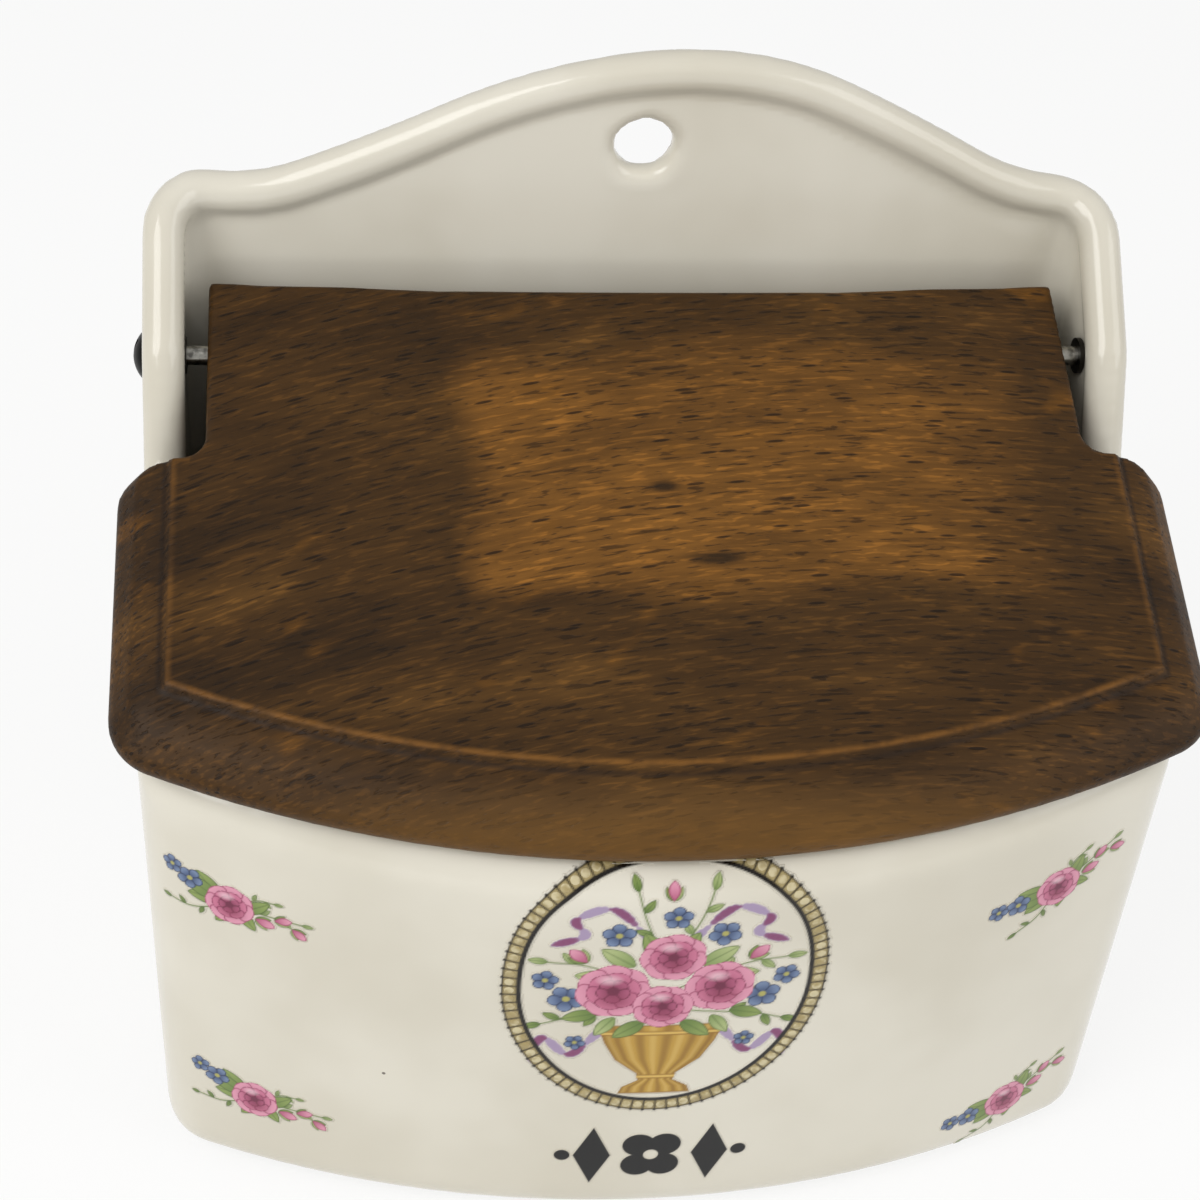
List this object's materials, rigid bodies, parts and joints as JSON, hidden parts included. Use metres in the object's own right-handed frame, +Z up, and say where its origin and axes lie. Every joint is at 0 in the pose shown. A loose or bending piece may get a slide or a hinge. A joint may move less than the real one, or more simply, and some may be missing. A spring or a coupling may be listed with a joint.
{
  "type": "salt box with hinged lid",
  "caption": "Wall-hung glazed ceramic salt box with bowed front, crowned back plate and wooden lid pivoting on short screws in the side ears.",
  "frame": {"origin": "middle of the bounding box in plan, on the plane the base stands on", "axes": "+Z up, +X to the viewer's right, -Y out of the bowed front, +Y towards the wall"},
  "size_m": [0.1786, 0.1086, 0.1769],
  "materials": {
    "white_glaze": "gloss",
    "stained_beech": "satin",
    "black_steel": "satin",
    "worn_steel": "satin"
  },
  "bodies": {
    "box": {"ceramic_box": "white_glaze", "left_pivot_screw": "black_steel", "right_pivot_screw": "black_steel", "left_retaining_washer": "worn_steel", "right_retaining_washer": "worn_steel"},
    "lid": {"lid": "stained_beech"}
  },
  "joints": [
    {"name": "lid_hinge", "type": "hinge", "parent": "box", "child": "lid", "pos_m": [0, 0.03436, 0.1265], "axis": [-1, 0, 0], "range_deg": [0, 120]}
  ]
}
